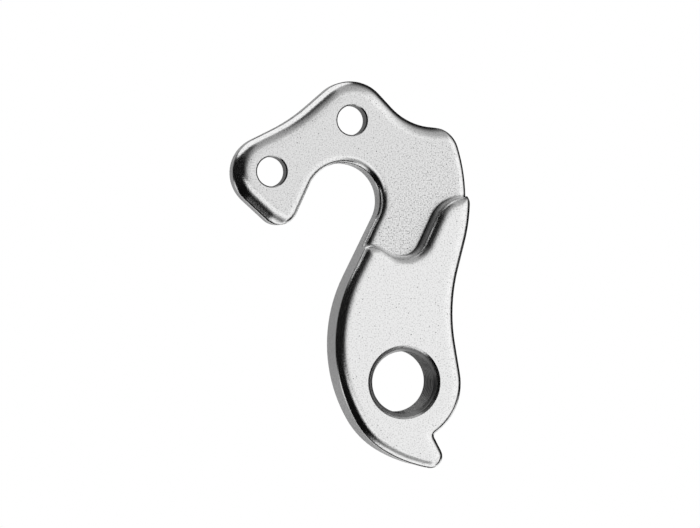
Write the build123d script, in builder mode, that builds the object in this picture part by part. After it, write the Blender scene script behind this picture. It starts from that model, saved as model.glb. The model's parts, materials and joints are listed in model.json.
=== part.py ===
from build123d import *
import os
from collections import namedtuple
from math import atan2, degrees, radians, sqrt, tan

# Bicycle derailleur hanger, one aluminium casting, in millimetres.
# X runs to the rear of the bicycle, Y outboard and Z up, as the hanger sits on the frame.
# The origin is midway between the two frame screws, on the face that seats against the dropout.
# An outline angle is that of the outward normal there, in degrees from the rear, counted upwards.

# Thickness of the bracket, and how far the arm stands out inboard of the bracket's seat face
bracket_thickness = 4.8
arm_rise = 3.2

# Frame screws: two countersunk M4 screws, put in from the outboard side
screw_spacing = 14.0
screw_tilt = 32.4
screw_hole_radius = 2.15
screw_rim_radius = 2.35
screw_head_radius = 4.1
screw_head_angle = 90
front_boss_radius = 5.35
rear_boss_radius = 5.75
# The bosses lie a little off their screws
front_boss_shift_x = -0.12
front_boss_shift_z = -0.12
rear_boss_shift_x = 0.2

# Axle slot, a hook that is open to the front and below
axle_x = 4.75
axle_z = -7.9
axle_slot_radius = 5.45
hook_tip_x = -4.6
hook_tip_z = -8.75
hook_tip_radius = 2.7

# Derailleur bolt hole, M10 x 1, bored at the thread's major size
thread_x = 12.95
thread_z = -34.2
thread_radius = 5.0
thread_mouth_radius = 5.35
thread_boss_radius = 8.7
thread_boss_drop = 0.25

# Upper edge of the bracket: the waist between the screw bosses, the saddle and the shoulder.
# The waist's two slopes are measured from the line through the screws.
waist_radius = 24.0
waist_rear_slope = 8.4
waist_front_slope = 6.0
saddle_radius = 9.0
saddle_rear_angle = 82.5
saddle_front_angle = 43.5
shoulder_angle = 17.5
shoulder_radius = 4.0

# Rear edge: the lobe beside the seat, which stands out past the derailleur bolt's boss, and the hollow
# flank below it
lobe_overhang = 1.38
lobe_z = -7.6
lobe_radius = 25.5
flank_radius = 26.0
flank_lower_angle = 9.6
flank_upper_angle = -14.4

# Front edge of the arm: it leaves the axle slot leaning forward, sweeps into the heel, which lies
# around the derailleur bolt, and runs along the sole to the stop toe
arm_front_lean = 26.4
arm_front_sweep = 56.4
heel_offset_x = 3.8
heel_offset_z = 0.55
heel_radius = 12.4
heel_sweep = 28.8
sole_radius = 19.2
sole_sweep = 20.9
corner_land = 0.1
notch_radius = 0.5
notch_angle = -55.6

# Step between the bracket and the arm, at the seat face: it starts with a round beside the axle slot,
# falls into the cradle for the dropout and rises to the spur. From the cradle's floor up to the spur its
# wall leans back, to the rear.
step_lean = 12.5
step_front_x = 6.63
step_front_z = -15.43
step_front_angle = 146.0
step_start_land = 0.8
step_fall_angle = 57.5
cradle_x = 12.9
cradle_z = -12.9
cradle_radius = 3.07
step_rise_angle = 155.0
spur_top = -7.25
spur_top_angle = 90.0
spur_radius = 4.8
spur_corner_angle = -1.8

# Rounds and edge breaks
rim_angle = 90
upper_edge_radius = 2.4
bracket_edge_radius = 1.3
arm_edge_radius = 1.65
step_crest_radius = 1.7
back_edge_break = 0.35

# Distance past the outline that the step's blocks reach, and past the cradle's middle where they overlap
block_reach = 40.0
block_overlap = 2.0
# Edges shorter than this are joints between two arcs that touch
shortest_edge = 1e-6

# A round in an outline: a positive radius is an outer round, a negative one a hollow
Round = namedtuple("Round", "centre radius")


def direction(angle):
    """Unit vector at an angle in degrees."""
    return Vector(1, 0).rotate(Axis.Z, angle)


def edge_angle(first, second):
    """Angle of the outward normal of the straight edge that leaves one round and meets the next."""
    span = second.centre - first.centre
    drop = first.radius - second.radius
    length = sqrt(max(span.dot(span) - drop**2, 0))
    # Rounds that touch have no edge between them
    if length < shortest_edge:
        length = 0
    return degrees(atan2(span.Y, span.X) - atan2(length, drop))


def round_between(first, first_angle, second, second_angle, radius):
    """Round that joins the edge leaving one round to the edge meeting another, given their normals."""
    normal_a = direction(first_angle)
    normal_b = direction(second_angle)
    reach_a = first.centre.dot(normal_a) + first.radius - radius
    reach_b = second.centre.dot(normal_b) + second.radius - radius
    cross = normal_a.X * normal_b.Y - normal_a.Y * normal_b.X
    x = (reach_a * normal_b.Y - reach_b * normal_a.Y) / cross
    y = (reach_b * normal_a.X - reach_a * normal_b.X) / cross
    return Round(Vector(x, y), radius)


def round_into(first, first_angle, second, second_angle):
    """Round from the edge leaving one round straight into another, given the normals at its two ends."""
    normal_a = direction(first_angle)
    normal_b = direction(second_angle)
    turn = normal_a.dot(normal_b)
    reach = first.centre.dot(normal_a) + first.radius
    radius = (reach - second.centre.dot(normal_a) - second.radius * turn) / (1 - turn)
    return Round(second.centre + normal_b * (second.radius - radius), radius)


def round_after(first, angle, radius):
    """Round that takes over from another where that one's outward normal has this angle."""
    return Round(first.centre + direction(angle) * (first.radius - radius), radius)


def moved(rounds, shift):
    """The same rounds, moved by a vector."""
    return [Round(here.centre + shift, here.radius) for here in rounds]


def draw_outline(rounds):
    """Closed line of arcs and tangent edges that passes the rounds counter-clockwise."""
    count = len(rounds)
    angles = [edge_angle(rounds[i - 1], rounds[i]) for i in range(count)]
    arrivals = [here.centre + direction(angle) * here.radius for here, angle in zip(rounds, angles)]
    for i, here in enumerate(rounds):
        leaving_angle = angles[(i + 1) % count]
        departure = here.centre + direction(leaving_angle) * here.radius
        next_arrival = arrivals[(i + 1) % count]
        if (next_arrival - departure).length > shortest_edge:
            Line(departure, next_arrival)
        else:
            departure = next_arrival
        if here.radius != 0:
            turn = (leaving_angle - angles[i]) % 360
            if here.radius < 0:
                turn -= 360
            middle = here.centre + direction(angles[i] + turn / 2) * here.radius
            ThreePointArc(arrivals[i], middle, departure)


# Rounds of the outline, in the view from the inboard side with X to the right and Z up
rear_screw = direction(screw_tilt) * (screw_spacing / 2)
front_screw = rear_screw * -1
thread_centre = Vector(thread_x, thread_z)
rear_boss = Round(rear_screw + Vector(rear_boss_shift_x, 0), rear_boss_radius)
front_boss = Round(front_screw + Vector(front_boss_shift_x, front_boss_shift_z), front_boss_radius)
waist_rear_angle = 90 + screw_tilt + waist_rear_slope
waist_front_angle = 90 + screw_tilt - waist_front_slope
waist = round_between(rear_boss, waist_rear_angle, front_boss, waist_front_angle, -waist_radius)
hook_tip = Round(Vector(hook_tip_x, hook_tip_z), hook_tip_radius)
axle_slot = Round(Vector(axle_x, axle_z), -axle_slot_radius)
arm_front_angle = 180 - arm_front_lean
heel_angle = arm_front_angle + arm_front_sweep
sole_angle = heel_angle + heel_sweep
toe_angle = sole_angle + sole_sweep
heel = Round(thread_centre + Vector(heel_offset_x, heel_offset_z), heel_radius)
arm_front = round_into(axle_slot, arm_front_angle, heel, heel_angle)
sole = round_after(heel, sole_angle, sole_radius)
# The arm's corners keep a narrow land beside the round of its edge
corner_radius = arm_edge_radius + corner_land
toe = round_after(sole, toe_angle, corner_radius)
thread_boss = Round(thread_centre - Vector(0, thread_boss_drop), thread_boss_radius)
notch = round_after(thread_boss, notch_angle, -notch_radius)
rear_reach = thread_x + thread_boss_radius + lobe_overhang
lobe = Round(Vector(rear_reach - lobe_radius, lobe_z), lobe_radius)
flank = round_between(thread_boss, flank_lower_angle, lobe, flank_upper_angle, -flank_radius)
shoulder = round_after(lobe, shoulder_angle, shoulder_radius)
saddle = round_between(shoulder, saddle_rear_angle, rear_boss, saddle_front_angle, -saddle_radius)
upper_rounds = [rear_boss, waist, front_boss, hook_tip, axle_slot]
arm_rounds = [arm_front, heel, sole, toe, notch, thread_boss, flank]
rear_rounds = [lobe, shoulder, saddle]
outline_rounds = upper_rounds + arm_rounds + rear_rounds
# The arm alone ends at the spur's corner
spur_corner = round_after(lobe, spur_corner_angle, corner_radius)
arm_outline_rounds = upper_rounds + arm_rounds + [lobe, spur_corner]

# Rounds of the step: its start and its rear are two blocks that overlap under the cradle's floor and
# reach past the outline on every other side.
cradle = Round(Vector(cradle_x, cradle_z), -cradle_radius)
cradle_floor = cradle_z - cradle_radius
step_front = Vector(step_front_x, step_front_z)
block_front = Round(step_front + direction(step_front_angle + 90) * block_reach, 0)
block_rear = rear_reach + block_reach
block_bottom = thread_z - block_reach
block_top = Round(Vector(block_rear, spur_top), 0)
# At the step's start the arm's face keeps a land beside the round of the crest
step_start_radius = step_crest_radius + step_start_land
step_start = round_between(cradle, step_fall_angle, block_front, step_front_angle, step_start_radius)
spur = round_between(block_top, spur_top_angle, cradle, step_rise_angle, spur_radius)
start_rounds = [
    step_start,
    block_front,
    Round(Vector(block_front.centre.X, block_bottom), 0),
    Round(Vector(cradle_x + block_overlap, block_bottom), 0),
    Round(Vector(cradle_x + block_overlap, cradle_floor), 0),
    cradle,
]
spur_rounds = [
    Round(Vector(cradle_x - block_overlap, cradle_floor), 0),
    Round(Vector(cradle_x - block_overlap, block_bottom), 0),
    Round(Vector(block_rear, block_bottom), 0),
    block_top,
    spur,
    cradle,
]

# Rounds of the upper edge, closed in the same way
upper_edge_rounds = [
    rear_boss,
    waist,
    front_boss,
    hook_tip,
    Round(Vector(block_rear, hook_tip_z - block_reach), hook_tip_radius),
    Round(Vector(block_rear, shoulder.centre.Y), shoulder_radius),
    saddle,
]

# Block with the step along its edge: an upright wall at the start, a leaning one at the rear, and a
# round crest
lean_run = tan(radians(step_lean))
lean_path = Vector(lean_run, -1, 0) * (bracket_thickness + arm_rise)
with BuildPart() as step_block:
    with BuildSketch(Plane.XZ.offset(-bracket_thickness)):
        with BuildLine():
            draw_outline(start_rounds)
        make_face()
    extrude(amount=bracket_thickness + arm_rise)
    with BuildSketch(Plane.XZ.offset(-bracket_thickness)):
        with BuildLine():
            draw_outline(moved(spur_rounds, Vector(-lean_run * bracket_thickness, 0)))
        make_face()
    extrude(amount=lean_path.length, dir=lean_path)
    fillet(step_block.faces().sort_by(Axis.Y)[0].edges(), step_crest_radius)

# Arm: the thick part of the outline, rounded along its inboard edge and ended by the step
with BuildPart() as arm:
    with BuildSketch(Plane.XZ.offset(-bracket_thickness)):
        with BuildLine():
            draw_outline(arm_outline_rounds)
        make_face()
    extrude(amount=bracket_thickness + arm_rise)
    fillet(arm.faces().sort_by(Axis.Y)[0].edges(), arm_edge_radius)
    add(step_block.part, mode=Mode.INTERSECT)

# Upper edge: a plate that follows the hanger from the saddle to the hook's tip, with a wide round there
with BuildPart() as upper_edge:
    with BuildSketch(Plane.XZ.offset(-bracket_thickness)):
        with BuildLine():
            draw_outline(upper_edge_rounds)
        make_face()
    extrude(amount=bracket_thickness)
    fillet(upper_edge.faces().sort_by(Axis.Y)[0].edges(), upper_edge_radius)

# Hanger: the bracket's plate, rounded along its inboard edge, in one piece with the arm
with BuildPart() as hanger:
    with BuildSketch(Plane.XZ.offset(-bracket_thickness)):
        with BuildLine():
            draw_outline(outline_rounds)
        make_face()
    extrude(amount=bracket_thickness)
    fillet(hanger.faces().sort_by(Axis.Y)[0].edges(), bracket_edge_radius)
    add(upper_edge.part, mode=Mode.INTERSECT)
    add(arm.part)
    chamfer(hanger.faces().sort_by(Axis.Y)[-1].edges(), back_edge_break)
    # Screw holes, countersunk outboard and with their rims broken on the seat face
    for screw in (front_screw, rear_screw):
        with Locations(Plane((screw.X, bracket_thickness, screw.Y), z_dir=(0, 1, 0))):
            CounterSinkHole(screw_hole_radius, screw_head_radius, counter_sink_angle=screw_head_angle)
        with Locations(Plane((screw.X, 0, screw.Y), z_dir=(0, -1, 0))):
            CounterSinkHole(screw_hole_radius, screw_rim_radius, counter_sink_angle=rim_angle)
    # Derailleur bolt hole, countersunk on both faces for the thread's start
    with Locations(Plane((thread_x, -arm_rise, thread_z), z_dir=(0, -1, 0))):
        CounterSinkHole(thread_radius, thread_mouth_radius, counter_sink_angle=rim_angle)
    with Locations(Plane((thread_x, bracket_thickness, thread_z), z_dir=(0, 1, 0))):
        CounterSinkHole(thread_radius, thread_mouth_radius, counter_sink_angle=rim_angle)

hanger.part.label = "derailleur_hanger"
os.makedirs("parts", exist_ok=True)
export_step(hanger.part, "parts/derailleur_hanger.step")
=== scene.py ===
"""Looks of a bicycle derailleur hanger.

A tumbled aluminium casting with a cut thread, in a white studio.
"""

import json
import logging
import math
from dataclasses import dataclass
from enum import Enum
from typing import Any, Optional, Sequence

import bmesh
import bpy
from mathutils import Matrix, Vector


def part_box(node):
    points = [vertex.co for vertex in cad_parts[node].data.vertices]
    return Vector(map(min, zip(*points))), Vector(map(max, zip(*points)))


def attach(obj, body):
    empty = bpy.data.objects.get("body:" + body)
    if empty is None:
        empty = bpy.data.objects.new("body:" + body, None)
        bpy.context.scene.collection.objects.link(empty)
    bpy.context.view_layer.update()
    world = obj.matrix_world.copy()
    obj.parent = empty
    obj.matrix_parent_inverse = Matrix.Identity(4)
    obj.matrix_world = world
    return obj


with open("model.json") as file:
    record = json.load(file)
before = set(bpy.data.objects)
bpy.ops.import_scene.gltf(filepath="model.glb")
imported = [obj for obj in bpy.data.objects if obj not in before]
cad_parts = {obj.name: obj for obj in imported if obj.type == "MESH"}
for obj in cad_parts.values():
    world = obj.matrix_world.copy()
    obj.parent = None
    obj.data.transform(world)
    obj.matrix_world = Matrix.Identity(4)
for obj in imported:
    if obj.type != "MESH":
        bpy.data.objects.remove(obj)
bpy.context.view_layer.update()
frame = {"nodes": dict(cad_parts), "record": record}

LOG = logging.getLogger("derailleur_hanger")
MM = 0.001
BODY = "root"
HANGER_NODE = "derailleur_hanger"
THREAD_MOUNT = "derailleur_thread"
SCREW_MOUNT = "frame_bolts"
WHITE = "#ffffff"
# Tilt of the line through the two frame screws, in degrees
SCREW_TILT = 32.4
# Share of the arm's height over the seat face at which the one is told from the other
SEAT_SHARE = 0.25
# Point at the middle of the picture, and how far the floor lies under the hanger
PICTURE_CENTRE = Vector((5.58, 0.0, -17.10)) * MM
FLOOR_DROP = 45 * MM
# Rays that a point sends out to find the edges and corners near it
SHADER_RAYS = 8


def linear(hex_colour: str) -> tuple[float, float, float, float]:
    """Turn an sRGB hex colour into a linear colour with full alpha.

    Args:
        hex_colour: Six hex digits with a leading hash, such as "#d8d8d8".

    Returns:
        Red, green, blue and alpha, linear.
    """
    digits = hex_colour.lstrip("#")
    channels = [int(digits[start:start + 2], 16) / 255 for start in (0, 2, 4)]
    decoded = [c / 12.92 if c <= 0.04045 else ((c + 0.055) / 1.055) ** 2.4 for c in channels]
    return decoded[0], decoded[1], decoded[2], 1.0


def per_size(size_mm: float) -> float:
    """Texture scale at which one cell of a pattern has this size.

    Args:
        size_mm: Size of a cell in millimetres.

    Returns:
        Cells per metre, for coordinates in metres.
    """
    return 1.0 / (size_mm * MM)


def add_node(
    tree: bpy.types.NodeTree,
    kind: str,
    settings: Optional[dict[Any, Any]] = None,
    links: Optional[dict[Any, bpy.types.NodeSocket]] = None,
) -> bpy.types.Node:
    """Add one node with its settings and its incoming links.

    Args:
        tree: The node tree that gets the node.
        kind: Blender's name for the node type.
        settings: Attributes of the node by name, and values of its inputs by number or by name in
            brackets.
        links: Output sockets of other nodes, by the number or the name of the input they feed.

    Returns:
        The new node.
    """
    node = tree.nodes.new(kind)
    for key, value in (settings or {}).items():
        if isinstance(key, int):
            node.inputs[key].default_value = value
        elif key.startswith("["):
            node.inputs[key.strip("[]")].default_value = value
        else:
            setattr(node, key, value)
    for key, socket in (links or {}).items():
        tree.links.new(socket, node.inputs[key])
    return node


class PanelTone(Enum):
    """How bright a panel of the studio looks in the metal, where the white studio is 1."""

    WHITE = 1.0
    PALE = 0.95
    GREY = 0.4
    DIM = 0.32
    DARK = 0.05
    BLACK = 0.004


@dataclass(frozen=True)
class StudioPanel:
    """A round panel of the studio, far off in one direction, that the metal reflects.

    Attributes:
        swing: Angle from the inboard side's own direction to the panel's middle, in degrees.
        clock: Angle around that direction, from the rear of the bicycle and counted upwards, in
            degrees.
        reach: Angle from the panel's middle to its edge, in degrees.
        softness: Angle over which its edge fades, in degrees.
        tone: How bright it is.
    """

    swing: float
    clock: float
    reach: float
    softness: float
    tone: PanelTone

    def towards(self) -> Vector:
        """Direction of the panel's middle.

        Returns:
            A unit vector in the frame's axes.
        """
        swing = math.radians(self.swing)
        clock = math.radians(self.clock)
        across = math.sin(swing)
        return Vector((across * math.cos(clock), -math.cos(swing), across * math.sin(clock)))


@dataclass(frozen=True)
class Hole:
    """A drilled hole along Y, with edges that stay crisp.

    Attributes:
        centre: A point on its axis, in metres.
        radius: Its radius, in metres.
    """

    centre: Vector
    radius: float


@dataclass(frozen=True)
class TumbledCasting:
    """Aluminium, cast and then tumbled with fine stone.

    Attributes:
        name: Name of the material.
        colour: Colour of the tumbled metal.
        seat_colour: Colour of the seat face.
        pore_colour: Colour inside pores and between grains.
        roughness: Roughness of the rounds, which the stones burnish.
        satin_roughness: Roughness of the flat faces and the walls.
        flat_lean: Share of the normal along Y at which a round ends and a flat face begins.
        wall_lean: Share of the normal along Y at which a round ends and a wall begins.
        seat_blend_mm: Half the height over which the seat face's looks turn into the arm's.
        grain_mm: Size of the grain.
        grain_depth_mm: Depth of the grain.
        grain_relief: How much of that depth the light shows.
        grain_octaves: Finer layers in the grain.
        grain_fading: Strength of a finer layer against the one before.
        grain_middle: Value of the grain's field that leaves the colour as it is.
        grain_dark: Value at which the grain is darkest.
        grain_bright: Value at which it is brightest.
        grain_contrast: How much darker and brighter the grain is where it is strongest.
        arm_grain: Share of the grain that is left on the arm.
        towards_step: Direction from the screws to the step.
        grain_from_mm: Distance in that direction at which the seat's grain begins to grow.
        grain_to_mm: Distance at which it is strongest.
        pore_mm: Distance between pores, if every one were open.
        pore_edge: Distances from a pore's middle, in shares of pore_mm, at which it begins and at
            which it is darkest.
        open_pores: Share of the pores that are open where the grain is strongest.
        soft_edge_mm: Width over which the edges are worn soft.
        crisp_mm: Width around a drilled hole that isn't worn.
        hole_shade_colour: Colour of the painted shade on the drilled walls.
        hole_shade_mm: Width around a drilled hole that still has that painted shade.
        corner_shade_colour: Colour of the painted shade on the step's wall towards the spur.
        corner_shade_mm: Distance from the step's corner over which the painted shade reaches.
        corner_shade_openness: Share of open space at a point where the painted shade starts and is
            full.
        corner_shade_lean: Share of the normal along X at which the painted shade starts and is
            full.
    """

    # To the eye: satin faces and walls with a fine dark grain, burnished rounds that mirror the
    # studio, and edges worn soft. The stones reach the deeper seat face less, so it keeps more of
    # the mould's grain, most of all beside the step.
    name: str = "aluminium_cast_and_tumbled"
    colour: str = "#f5f5f5"
    seat_colour: str = "#e8e8e8"
    pore_colour: str = "#404040"
    roughness: float = 0.15
    satin_roughness: float = 0.32
    flat_lean: tuple[float, float] = (0.965, 0.999)
    wall_lean: tuple[float, float] = (0.2, 0.03)
    seat_blend_mm: float = 0.3
    # Real grain and pores are finer than a picture point, so both are drawn coarser, to show
    grain_mm: float = 0.2
    grain_depth_mm: float = 0.02
    grain_relief: float = 0.6
    grain_octaves: float = 1.0
    grain_fading: float = 0.5
    grain_middle: float = 0.5
    grain_dark: float = 0.2
    grain_bright: float = 0.8
    grain_contrast: float = 0.9
    arm_grain: float = 0.5
    towards_step: tuple[float, float, float] = (0.5, 0.0, -0.87)
    grain_from_mm: float = 3.0
    grain_to_mm: float = 17.0
    pore_mm: float = 0.45
    pore_edge: tuple[float, float] = (0.2, 0.08)
    open_pores: float = 0.36
    soft_edge_mm: float = 0.6
    crisp_mm: float = 1.2
    # Painted shade inside the drilled holes
    hole_shade_colour: str = "#7c7c7c"
    hole_shade_mm: float = 0.05
    # Painted shade on the step's wall, darker where the step's corner encloses it
    corner_shade_colour: str = "#5a5a5a"
    corner_shade_mm: float = 3.0
    corner_shade_openness: tuple[float, float] = (0.98, 0.8)
    corner_shade_lean: tuple[float, float] = (-0.1, -0.5)

    def build(self, seat_level: float, holes: Sequence[Hole]) -> bpy.types.Material:
        """Make the material.

        Args:
            seat_level: Height along Y that parts the arm from the seat face, in metres.
            holes: The drilled holes.

        Returns:
            The new material.
        """
        material = bpy.data.materials.new(self.name)
        material.use_nodes = True
        tree = material.node_tree
        tree.nodes.clear()
        seat = self.seat_share(tree, seat_level)
        metal = self.metal_colour(tree, seat, holes)
        flat = self.lean_share(tree, self.flat_lean)
        wall = self.lean_share(tree, self.wall_lean)
        satin = add_node(
            tree, "ShaderNodeMath", {"operation": "MAXIMUM"}, {0: flat, 1: wall}
        ).outputs[0]
        roughness = add_node(
            tree,
            "ShaderNodeMapRange",
            {3: self.roughness, 4: self.satin_roughness},
            {0: satin},
        ).outputs[0]
        bump = add_node(
            tree,
            "ShaderNodeBump",
            {"[Strength]": self.grain_relief, "[Distance]": self.grain_depth_mm * MM},
            {"Height": self.grain(tree), "Normal": self.worn_normal(tree, holes)},
        ).outputs[0]
        shader = add_node(
            tree,
            "ShaderNodeBsdfPrincipled",
            {"[Metallic]": 1.0},
            {"Base Color": metal, "Roughness": roughness, "Normal": bump},
        )
        add_node(tree, "ShaderNodeOutputMaterial", links={"Surface": shader.outputs[0]})
        return material

    def grain(self, tree: bpy.types.NodeTree) -> bpy.types.NodeSocket:
        """Field of the grain.

        Args:
            tree: The material's node tree.

        Returns:
            A value around a half.
        """
        place = add_node(tree, "ShaderNodeTexCoord").outputs["Object"]
        return add_node(
            tree,
            "ShaderNodeTexNoise",
            {
                "[Scale]": per_size(self.grain_mm),
                "[Detail]": self.grain_octaves,
                "[Roughness]": self.grain_fading,
            },
            {"Vector": place},
        ).outputs[0]

    def lean_share(
        self, tree: bpy.types.NodeTree, lean: tuple[float, float]
    ) -> bpy.types.NodeSocket:
        """Mask of the faces that lean a given way, apart from the rounds at their edges.

        Args:
            tree: The material's node tree.
            lean: Shares of the normal along Y, either way, at which the mask is 0 and 1.

        Returns:
            1 on the faces and 0 elsewhere.
        """
        normal = add_node(tree, "ShaderNodeTexCoord").outputs["Normal"]
        parts = add_node(tree, "ShaderNodeSeparateXYZ", links={0: normal})
        along = add_node(
            tree, "ShaderNodeMath", {"operation": "ABSOLUTE"}, {0: parts.outputs["Y"]}
        ).outputs[0]
        return add_node(
            tree,
            "ShaderNodeMapRange",
            {"interpolation_type": "SMOOTHSTEP", 1: lean[0], 2: lean[1]},
            {0: along},
        ).outputs[0]

    def seat_share(self, tree: bpy.types.NodeTree, seat_level: float) -> bpy.types.NodeSocket:
        """Mask of the seat face: what is flat, faces inboard and lies deeper than the arm.

        Args:
            tree: The material's node tree.
            seat_level: Height along Y that parts the arm from the seat face, in metres.

        Returns:
            1 on the seat face and 0 elsewhere.
        """
        coordinates = add_node(tree, "ShaderNodeTexCoord")
        place = add_node(
            tree, "ShaderNodeSeparateXYZ", links={0: coordinates.outputs["Object"]}
        )
        normal = add_node(
            tree, "ShaderNodeSeparateXYZ", links={0: coordinates.outputs["Normal"]}
        )
        blend = self.seat_blend_mm * MM
        deep = add_node(
            tree,
            "ShaderNodeMapRange",
            {"interpolation_type": "SMOOTHSTEP", 1: seat_level - blend, 2: seat_level + blend},
            {0: place.outputs["Y"]},
        ).outputs[0]
        inboard = add_node(
            tree, "ShaderNodeMath", {"operation": "LESS_THAN", 1: 0.0}, {0: normal.outputs["Y"]}
        ).outputs[0]
        share = deep
        for other in (inboard, self.lean_share(tree, self.flat_lean)):
            share = add_node(
                tree, "ShaderNodeMath", {"operation": "MULTIPLY"}, {0: share, 1: other}
            ).outputs[0]
        return share

    def metal_colour(
        self, tree: bpy.types.NodeTree, seat: bpy.types.NodeSocket, holes: Sequence[Hole]
    ) -> bpy.types.NodeSocket:
        """Colour of the metal, with its grain and pores, and painted shade on the step's wall and
        in the drilled holes.

        Args:
            tree: The material's node tree.
            seat: Mask of the seat face.
            holes: The drilled holes.

        Returns:
            The colour.
        """
        density = self.grain_density(tree, seat)
        layers = [
            (self.pore_colour, self.grain_share(tree, density, self.grain_dark)),
            (WHITE, self.grain_share(tree, density, self.grain_bright)),
            (self.pore_colour, self.pore_share(tree, density)),
            # Painted shade on the step's enclosed wall
            (self.corner_shade_colour, self.corner_shade_share(tree)),
        ]
        # Painted shade inside the drilled holes
        layers += [(self.hole_shade_colour, self.hole_shade_share(tree, hole)) for hole in holes]
        colour = add_node(
            tree,
            "ShaderNodeMix",
            {"data_type": "RGBA", 6: linear(self.colour), 7: linear(self.seat_colour)},
            {0: seat},
        ).outputs[2]
        for tint, share in layers:
            colour = add_node(
                tree,
                "ShaderNodeMix",
                {"data_type": "RGBA", 7: linear(tint)},
                {0: share, 6: colour},
            ).outputs[2]
        return colour

    def grain_density(
        self, tree: bpy.types.NodeTree, seat: bpy.types.NodeSocket
    ) -> bpy.types.NodeSocket:
        """How strong the grain is: even on the arm, and growing towards the step on the seat.

        Args:
            tree: The material's node tree.
            seat: Mask of the seat face.

        Returns:
            1 where the grain is strongest.
        """
        place = add_node(tree, "ShaderNodeTexCoord").outputs["Object"]
        way = add_node(
            tree,
            "ShaderNodeVectorMath",
            {"operation": "DOT_PRODUCT", 1: self.towards_step},
            {0: place},
        ).outputs["Value"]
        growth = add_node(
            tree,
            "ShaderNodeMapRange",
            {1: self.grain_from_mm * MM, 2: self.grain_to_mm * MM, 3: self.arm_grain, 4: 1.0},
            {0: way},
        ).outputs[0]
        return add_node(
            tree,
            "ShaderNodeMix",
            {"data_type": "FLOAT", 2: self.arm_grain},
            {0: seat, 3: growth},
        ).outputs[0]

    def grain_share(
        self, tree: bpy.types.NodeTree, density: bpy.types.NodeSocket, strongest: float
    ) -> bpy.types.NodeSocket:
        """Mask of the dark or the bright half of the grain.

        Args:
            tree: The material's node tree.
            density: How strong the grain is.
            strongest: Value of the grain's field at which the mask is strongest.

        Returns:
            The share of the grain's colour.
        """
        field = add_node(
            tree,
            "ShaderNodeMapRange",
            {1: self.grain_middle, 2: strongest, 4: self.grain_contrast},
            {0: self.grain(tree)},
        ).outputs[0]
        return add_node(
            tree, "ShaderNodeMath", {"operation": "MULTIPLY"}, {0: field, 1: density}
        ).outputs[0]

    def pore_share(
        self, tree: bpy.types.NodeTree, density: bpy.types.NodeSocket
    ) -> bpy.types.NodeSocket:
        """Mask of the open pores: one to a cell, in the cells whose random value is low.

        Args:
            tree: The material's node tree.
            density: How strong the grain is.

        Returns:
            1 in the middle of an open pore and 0 elsewhere.
        """
        place = add_node(tree, "ShaderNodeTexCoord").outputs["Object"]
        cells = add_node(
            tree, "ShaderNodeTexVoronoi", {"[Scale]": per_size(self.pore_mm)}, {"Vector": place}
        )
        dots = add_node(
            tree,
            "ShaderNodeMapRange",
            {1: self.pore_edge[0], 2: self.pore_edge[1]},
            {0: cells.outputs["Distance"]},
        ).outputs[0]
        chance = add_node(
            tree, "ShaderNodeSeparateColor", links={0: cells.outputs["Color"]}
        ).outputs[0]
        most = add_node(
            tree, "ShaderNodeMath", {"operation": "MULTIPLY", 1: self.open_pores}, {0: density}
        ).outputs[0]
        is_open = add_node(
            tree, "ShaderNodeMath", {"operation": "LESS_THAN"}, {0: chance, 1: most}
        ).outputs[0]
        return add_node(
            tree, "ShaderNodeMath", {"operation": "MULTIPLY"}, {0: dots, 1: is_open}
        ).outputs[0]

    def corner_shade_share(self, tree: bpy.types.NodeTree) -> bpy.types.NodeSocket:
        """Mask of the painted shade on the step's wall that faces forward, where the step's corner
        encloses it.

        Args:
            tree: The material's node tree.

        Returns:
            1 where the painted shade is full and 0 where there is none.
        """
        # Painted shade: strongest where little open space lies around the point
        openness = add_node(
            tree,
            "ShaderNodeAmbientOcclusion",
            {"samples": SHADER_RAYS, "only_local": True, "[Distance]": self.corner_shade_mm * MM},
        ).outputs["AO"]
        normal = add_node(tree, "ShaderNodeTexCoord").outputs["Normal"]
        parts = add_node(tree, "ShaderNodeSeparateXYZ", links={0: normal})
        enclosed, forward = (
            add_node(
                tree,
                "ShaderNodeMapRange",
                {"interpolation_type": "SMOOTHSTEP", 1: start, 2: end},
                {0: value},
            ).outputs[0]
            for value, (start, end) in (
                (openness, self.corner_shade_openness),
                (parts.outputs["X"], self.corner_shade_lean),
            )
        )
        return add_node(
            tree, "ShaderNodeMath", {"operation": "MULTIPLY"}, {0: enclosed, 1: forward}
        ).outputs[0]

    def hole_shade_share(self, tree: bpy.types.NodeTree, hole: Hole) -> bpy.types.NodeSocket:
        """Mask of a drilled hole's wall, which gets painted shade.

        Args:
            tree: The material's node tree.
            hole: The hole.

        Returns:
            1 on the wall and 0 elsewhere.
        """
        return add_node(
            tree,
            "ShaderNodeMath",
            {"operation": "LESS_THAN", 1: hole.radius + self.hole_shade_mm * MM},
            {0: self.hole_distance(tree, hole)},
        ).outputs[0]

    def hole_distance(self, tree: bpy.types.NodeTree, hole: Hole) -> bpy.types.NodeSocket:
        """Distance from the axis of a drilled hole.

        Args:
            tree: The material's node tree.
            hole: The hole.

        Returns:
            The distance in metres.
        """
        place = add_node(tree, "ShaderNodeTexCoord").outputs["Object"]
        beside = add_node(
            tree, "ShaderNodeVectorMath", {"operation": "MULTIPLY", 1: (1.0, 0.0, 1.0)}, {0: place}
        ).outputs[0]
        return add_node(
            tree,
            "ShaderNodeVectorMath",
            {"operation": "DISTANCE", 1: (hole.centre.x, 0.0, hole.centre.z)},
            {0: beside},
        ).outputs["Value"]

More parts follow.
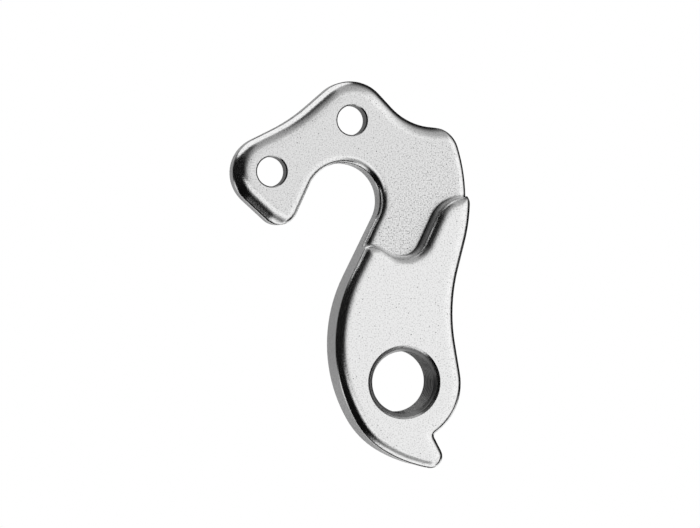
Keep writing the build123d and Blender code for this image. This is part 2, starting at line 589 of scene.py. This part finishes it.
    def worn_normal(
        self, tree: bpy.types.NodeTree, holes: Sequence[Hole]
    ) -> bpy.types.NodeSocket:
        """Normal of the worn metal: soft at the casting's edges and crisp at the drilled holes.

        Args:
            tree: The material's node tree.
            holes: The drilled holes.

        Returns:
            The normal.
        """
        normal = add_node(
            tree,
            "ShaderNodeBevel",
            {"samples": SHADER_RAYS, "[Radius]": self.soft_edge_mm * MM},
        ).outputs[0]
        plain = add_node(tree, "ShaderNodeNewGeometry").outputs["Normal"]
        for hole in holes:
            away = add_node(
                tree,
                "ShaderNodeMapRange",
                {
                    "interpolation_type": "SMOOTHSTEP",
                    1: hole.radius + self.crisp_mm / 2 * MM,
                    2: hole.radius + self.crisp_mm * MM,
                },
                {0: self.hole_distance(tree, hole)},
            ).outputs[0]
            normal = add_node(
                tree, "ShaderNodeMix", {"data_type": "VECTOR"}, {0: away, 4: plain, 5: normal}
            ).outputs[1]
        return normal


@dataclass(frozen=True)
class TappedThread:
    """Aluminium, cut by a tap.

    Attributes:
        name: Name of the material.
        colour: Colour of the cut metal, greyed by painted shade of the deep bore.
        roughness: Roughness of the flanks.
    """

    # To the eye: flanks greyer than the casting, which is painted shade of the deep bore, and a
    # little torn by the cut, so that they blur
    name: str = "aluminium_tapped"
    # Greyer colour: painted shade of the deep bore
    colour: str = "#b4b4b4"
    roughness: float = 0.28

    def build(self) -> bpy.types.Material:
        """Make the material.

        Returns:
            The new material.
        """
        material = bpy.data.materials.new(self.name)
        material.use_nodes = True
        tree = material.node_tree
        tree.nodes.clear()
        shader = add_node(
            tree,
            "ShaderNodeBsdfPrincipled",
            {
                "[Metallic]": 1.0,
                "[Base Color]": linear(self.colour),
                "[Roughness]": self.roughness,
            },
        )
        add_node(tree, "ShaderNodeOutputMaterial", links={"Surface": shader.outputs[0]})
        return material


@dataclass(frozen=True)
class PalePaper:
    """Paper, matt and pale, for the studio's floor.

    Attributes:
        name: Name of the material.
        colour: Colour of the paper.
        near: Distance from the object up to which the paper shows its own shade, in metres.
        far: Distance from which it is plain white like the background, in metres.
    """

    # To the eye: an even pale sheet that holds a soft shadow and runs out into white
    name: str = "paper_pale_matt"
    colour: str = "#f4f4f4"
    near: float = 0.12
    far: float = 0.4

    def build(self) -> bpy.types.Material:
        """Make the material.

        Returns:
            The new material.
        """
        material = bpy.data.materials.new(self.name)
        material.use_nodes = True
        tree = material.node_tree
        tree.nodes.clear()
        paper = add_node(tree, "ShaderNodeBsdfDiffuse", {0: linear(self.colour)}).outputs[0]
        place = add_node(tree, "ShaderNodeTexCoord").outputs["Object"]
        distance = add_node(
            tree, "ShaderNodeVectorMath", {"operation": "LENGTH"}, {0: place}
        ).outputs["Value"]
        outside = add_node(
            tree,
            "ShaderNodeMapRange",
            {"interpolation_type": "SMOOTHSTEP", 1: self.near, 2: self.far},
            {0: distance},
        ).outputs[0]
        ray = add_node(tree, "ShaderNodeLightPath")
        seen = ray.outputs["Is Camera Ray"]
        for other in ("Is Glossy Ray", "Is Transmission Ray"):
            seen = add_node(
                tree, "ShaderNodeMath", {"operation": "MAXIMUM"}, {0: seen, 1: ray.outputs[other]}
            ).outputs[0]
        share = add_node(
            tree, "ShaderNodeMath", {"operation": "MULTIPLY"}, {0: outside, 1: seen}
        ).outputs[0]
        white = add_node(tree, "ShaderNodeEmission", {0: linear(WHITE), 1: 1.0}).outputs[0]
        surface = add_node(
            tree, "ShaderNodeMixShader", links={0: share, 1: paper, 2: white}
        ).outputs[0]
        add_node(tree, "ShaderNodeOutputMaterial", links={"Surface": surface})
        return material


@dataclass
class CutThread:
    """Helical lining of the derailleur bolt's hole: a metric internal thread cut into the bore.

    Attributes:
        centre: Middle of the threaded wall, in metres.
        major_radius: Radius at the thread's roots, in metres.
        length: Length of the cylindrical wall, in metres.
        pitch: Distance from turn to turn, in metres.
        crest_share: Half the width of a crest, as a share of the pitch.
        root_share: Half the width of a root, as a share of the pitch.
        depth_share: Depth of the thread, as a share of its sharp triangle's height.
        segments: Steps around the hole.
        rows_per_pitch: Steps along each turn.
        sink: How far the lining's back lies in the metal around it, in metres.
        cover: How far its roots stand inside the bore, so that they cover it, in metres.
        name: Name of the lining.
    """

    centre: Vector
    major_radius: float
    length: float
    pitch: float = 1.0 * MM
    crest_share: float = 1 / 8
    root_share: float = 1 / 16
    depth_share: float = 5 / 8
    segments: int = 168
    rows_per_pitch: int = 24
    sink: float = 0.02 * MM
    cover: float = 0.005 * MM
    name: str = "derailleur_thread"

    def profile(self, phase: float) -> float:
        """Radius of the thread at a phase of its turn.

        Args:
            phase: Share of a turn, from the middle of a crest.

        Returns:
            Radius in metres, on the standard 60 degree form.
        """
        depth = self.pitch * self.depth_share * math.sqrt(3) / 2
        offset = abs((phase + 0.5) % 1.0 - 0.5)
        rise = (offset - self.crest_share) / (0.5 - self.crest_share - self.root_share)
        return self.major_radius - depth * (1 - min(max(rise, 0.0), 1.0))

    def ring(
        self, mesh: bmesh.types.BMesh, radii: Sequence[float], along: float
    ) -> list[bmesh.types.BMVert]:
        """Add one ring of points around the hole's axis.

        Args:
            mesh: The mesh that gets the points.
            radii: Radius of each point, in metres.
            along: Distance of the ring from the middle of the wall, in metres.

        Returns:
            The new points.
        """
        turn = 2 * math.pi / self.segments
        return [
            mesh.verts.new(
                self.centre
                + Vector((radius * math.cos(i * turn), along, radius * math.sin(i * turn)))
            )
            for i, radius in enumerate(radii)
        ]

    def build(self) -> bpy.types.Object:
        """Make the lining as one closed mesh.

        Returns:
            The lining, placed in the frame.
        """
        rows = round(self.length / self.pitch * self.rows_per_pitch)
        root = self.major_radius - self.cover
        back = [self.major_radius + self.sink] * self.segments
        mesh = bmesh.new()
        rings = []
        for row in range(rows + 1):
            from_end = self.length * row / rows
            along = from_end - self.length / 2
            # The thread fades into a cone at both mouths
            cone = self.major_radius - min(from_end, self.length - from_end)
            radii = []
            for i in range(self.segments):
                thread = self.profile(along / self.pitch - i / self.segments)
                radii.append(min(max(thread, cone), root))
            rings.append(self.ring(mesh, radii, along))
        rings.append(self.ring(mesh, back, self.length / 2))
        rings.append(self.ring(mesh, back, -self.length / 2))
        for first, second in zip(rings, rings[1:] + rings[:1]):
            for i in range(self.segments):
                following = (i + 1) % self.segments
                mesh.faces.new((first[i], first[following], second[following], second[i]))
        bmesh.ops.recalc_face_normals(mesh, faces=mesh.faces)
        data = bpy.data.meshes.new(self.name)
        mesh.to_mesh(data)
        mesh.free()
        data.polygons.foreach_set("use_smooth", [True] * len(data.polygons))
        lining = bpy.data.objects.new(self.name, data)
        bpy.context.scene.collection.objects.link(lining)
        return lining


@dataclass
class Hanger:
    """The hanger: its casting, and the thread cut into it.

    Attributes:
        casting: The CAD object of the casting.
        record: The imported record, with the mounts.
        finish: Finish of the casting.
        thread_finish: Finish of the thread.
    """

    casting: bpy.types.Object
    record: dict[str, Any]
    finish: TumbledCasting = TumbledCasting()
    thread_finish: TappedThread = TappedThread()

    def mount(self, name: str) -> dict[str, Any]:
        """One of the record's mounts.

        Args:
            name: Name of the mount.

        Returns:
            The mount's entry in the record.
        """
        return next(mount for mount in self.record["mounts"] if mount["name"] == name)

    def holes(self) -> list[Hole]:
        """The drilled holes: the derailleur bolt's and the two frame screws'.

        Returns:
            The holes.
        """
        thread = self.mount(THREAD_MOUNT)
        screws = self.mount(SCREW_MOUNT)
        tilt = math.radians(SCREW_TILT)
        middle = Vector(screws["pos_m"])
        reach = screws["dims"]["pcd_mm"] / 2 * MM
        arm = Vector((math.cos(tilt), 0.0, math.sin(tilt))) * reach
        screw_radius = screws["dims"]["hole_r_mm"] * MM
        return [
            Hole(Vector(thread["pos_m"]), thread["dims"]["r_mm"] * MM),
            Hole(middle + arm, screw_radius),
            Hole(middle - arm, screw_radius),
        ]

    def build(self) -> list[bpy.types.Object]:
        """Dress the casting and cut its thread.

        Returns:
            The pieces of the hanger.
        """
        lowest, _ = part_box(HANGER_NODE)
        material = self.finish.build(lowest.y * SEAT_SHARE, self.holes())
        self.casting.data.materials.clear()
        self.casting.data.materials.append(material)
        mount = self.mount(THREAD_MOUNT)
        thread = CutThread(
            centre=Vector(mount["pos_m"]),
            major_radius=mount["dims"]["r_mm"] * MM,
            length=mount["dims"]["length_mm"] * MM,
        ).build()
        thread.data.materials.append(self.thread_finish.build())
        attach(thread, BODY)
        return [self.casting, thread]


@dataclass
class Studio:
    """White studio: a pale floor, panels around the metal, a soft lamp and the camera.

    Attributes:
        aim: Point at the middle of the picture, in metres.
        floor_level: Height of the floor, in metres.
        azimuth: Turn of the camera around the vertical, in degrees; negative is to the front.
        picture_width: Width of the picture at the object, in metres.
        focal_length: Focal length in millimetres.
        sensor_width: Width of the sensor in millimetres.
        sight: Distance up to which the camera sees, in metres.
        floor_size: Width of the floor, in metres.
        paper: Finish of the floor.
        lamp_height: Height of the lamp over the aim, in metres.
        lamp_size: Width of the lamp, in metres.
        lamp_power: Power of the lamp, in watts.
        panels: Panels of the studio, painted one over the other.
    """

    aim: Vector
    floor_level: float
    azimuth: float = -11.5
    picture_width: float = 101.45 * MM
    focal_length: float = 180.0
    sensor_width: float = 36.0
    sight: float = 100.0
    floor_size: float = 8.0
    paper: PalePaper = PalePaper()
    lamp_height: float = 0.5
    lamp_size: float = 0.35
    lamp_power: float = 0.6
    panels: tuple[StudioPanel, ...] = (
        # The camera's side, a little less bright than the rest, and grey above it
        StudioPanel(28.0, 91.0, 35.0, 20.0, PanelTone.PALE),
        StudioPanel(90.0, 102.0, 52.0, 50.0, PanelTone.GREY),
        # Dark card on the left, and a dark strip above it
        StudioPanel(80.0, 188.0, 64.0, 48.0, PanelTone.BLACK),
        StudioPanel(78.0, 126.0, 14.0, 16.0, PanelTone.DARK),
        # Dark wall behind and to both sides
        StudioPanel(180.0, 0.0, 40.0, 14.0, PanelTone.BLACK),
        StudioPanel(150.0, 355.0, 54.0, 16.0, PanelTone.BLACK),
        StudioPanel(150.0, 42.0, 50.0, 60.0, PanelTone.BLACK),
        StudioPanel(125.0, 172.0, 36.0, 14.0, PanelTone.BLACK),
        # Pale floor, and a dim patch of it that the tip's lower edge shows
        StudioPanel(90.0, 270.0, 79.0, 8.0, PanelTone.PALE),
        StudioPanel(62.0, 260.0, 16.0, 24.0, PanelTone.DIM),
        # Dark cards below on the left, for the bands along the left edges
        StudioPanel(74.0, 213.0, 31.0, 20.0, PanelTone.BLACK),
        StudioPanel(104.0, 207.0, 32.0, 12.0, PanelTone.BLACK),
        # Small dark cards below on the right, for the thin lines along the right edges
        StudioPanel(106.0, 345.0, 14.0, 6.0, PanelTone.BLACK),
        StudioPanel(106.0, 325.0, 14.0, 6.0, PanelTone.BLACK),
        StudioPanel(108.0, 306.0, 12.0, 6.0, PanelTone.BLACK),
        # Dim opening behind, which the left walls show
        StudioPanel(172.0, 190.0, 22.0, 8.0, PanelTone.DIM),
        # Bright panels above and below
        StudioPanel(120.0, 115.0, 28.0, 8.0, PanelTone.WHITE),
        StudioPanel(124.0, 100.0, 18.0, 8.0, PanelTone.WHITE),
        StudioPanel(115.0, 280.0, 24.0, 8.0, PanelTone.WHITE),
        # Small dark cards behind and below, for the thin lines along the bottom edges
        StudioPanel(133.5, 232.0, 14.0, 5.0, PanelTone.BLACK),
        StudioPanel(133.5, 251.0, 14.0, 5.0, PanelTone.BLACK),
        StudioPanel(133.5, 270.0, 14.0, 5.0, PanelTone.BLACK),
        StudioPanel(133.5, 289.0, 14.0, 5.0, PanelTone.BLACK),
    )

    def build_world(self) -> None:
        """Paint the studio: white, with panels that only the metal's reflections see."""
        world = bpy.data.worlds.new("white_studio")
        bpy.context.scene.world = world
        world.use_nodes = True
        tree = world.node_tree
        tree.nodes.clear()
        direction = add_node(tree, "ShaderNodeTexCoord").outputs["Generated"]
        white = linear(WHITE)
        links: dict[Any, bpy.types.NodeSocket] = {}
        for panel in self.panels:
            facing = add_node(
                tree,
                "ShaderNodeVectorMath",
                {"operation": "DOT_PRODUCT", 1: panel.towards()},
                {0: direction},
            ).outputs["Value"]
            outer = math.cos(math.radians(panel.reach + panel.softness / 2))
            inner = math.cos(math.radians(panel.reach - panel.softness / 2))
            links[0] = add_node(
                tree,
                "ShaderNodeMapRange",
                {"interpolation_type": "SMOOTHSTEP", 1: outer, 2: inner},
                {0: facing},
            ).outputs[0]
            tone = panel.tone.value
            painted = add_node(
                tree,
                "ShaderNodeMix",
                {"data_type": "RGBA", 6: white, 7: (tone, tone, tone, 1.0)},
                links,
            ).outputs[2]
            links = {6: painted}
        ray = add_node(tree, "ShaderNodeLightPath")
        colour = add_node(
            tree,
            "ShaderNodeMix",
            {"data_type": "RGBA", 6: white},
            {0: ray.outputs["Is Glossy Ray"], 7: links[6]},
        ).outputs[2]
        background = add_node(tree, "ShaderNodeBackground", {1: 1.0}, {0: colour})
        add_node(tree, "ShaderNodeOutputWorld", links={0: background.outputs[0]})

    def build_floor(self) -> bpy.types.Object:
        """Lay the floor: pale and shaded near the object, white like the background farther out.

        Returns:
            The floor.
        """
        half = self.floor_size / 2
        data = bpy.data.meshes.new("floor")
        corners = [(-half, -half, 0.0), (half, -half, 0.0), (half, half, 0.0), (-half, half, 0.0)]
        data.from_pydata(corners, [], [(0, 1, 2, 3)])
        data.materials.append(self.paper.build())
        floor = bpy.data.objects.new("floor", data)
        floor.location = (self.aim.x, self.aim.y, self.floor_level)
        # The metal shows the panels of the studio through the floor
        floor.visible_glossy = False
        bpy.context.scene.collection.objects.link(floor)
        return floor

    def build_lamp(self) -> bpy.types.Object:
        """Hang a soft lamp over the object, which gives the floor its shadow.

        Returns:
            The lamp.
        """
        data = bpy.data.lights.new("soft_lamp", "AREA")
        data.size = self.lamp_size
        data.energy = self.lamp_power
        lamp = bpy.data.objects.new("soft_lamp", data)
        lamp.location = self.aim + Vector((0.0, 0.0, self.lamp_height))
        lamp.visible_glossy = False
        bpy.context.scene.collection.objects.link(lamp)
        return lamp

    def build_camera(self) -> bpy.types.Object:
        """Place the camera level with the aim, turned towards the front of the bicycle.

        Returns:
            The camera.
        """
        data = bpy.data.cameras.new("camera")
        data.sensor_width = self.sensor_width
        data.lens = self.focal_length
        data.clip_end = self.sight
        camera = bpy.data.objects.new("camera", data)
        distance = self.picture_width * self.focal_length / self.sensor_width
        turn = math.radians(self.azimuth)
        camera.location = self.aim + distance * Vector((math.sin(turn), -math.cos(turn), 0.0))
        camera.rotation_euler = (math.pi / 2, 0.0, turn)
        bpy.context.scene.collection.objects.link(camera)
        bpy.context.scene.camera = camera
        return camera


def main() -> None:
    """Build the hanger and its studio."""
    logging.basicConfig(level=logging.INFO, format="%(name)s: %(message)s")
    bpy.context.scene.view_settings.view_transform = "Standard"
    hanger = Hanger(frame["nodes"][HANGER_NODE], frame["record"])
    for piece in hanger.build():
        LOG.info("piece %s with %d faces", piece.name, len(piece.data.polygons))
    lowest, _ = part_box(HANGER_NODE)
    studio = Studio(aim=PICTURE_CENTRE, floor_level=lowest.z - FLOOR_DROP)
    studio.build_world()
    studio.build_floor()
    studio.build_lamp()
    studio.build_camera()


if __name__ == "__main__":
    main()
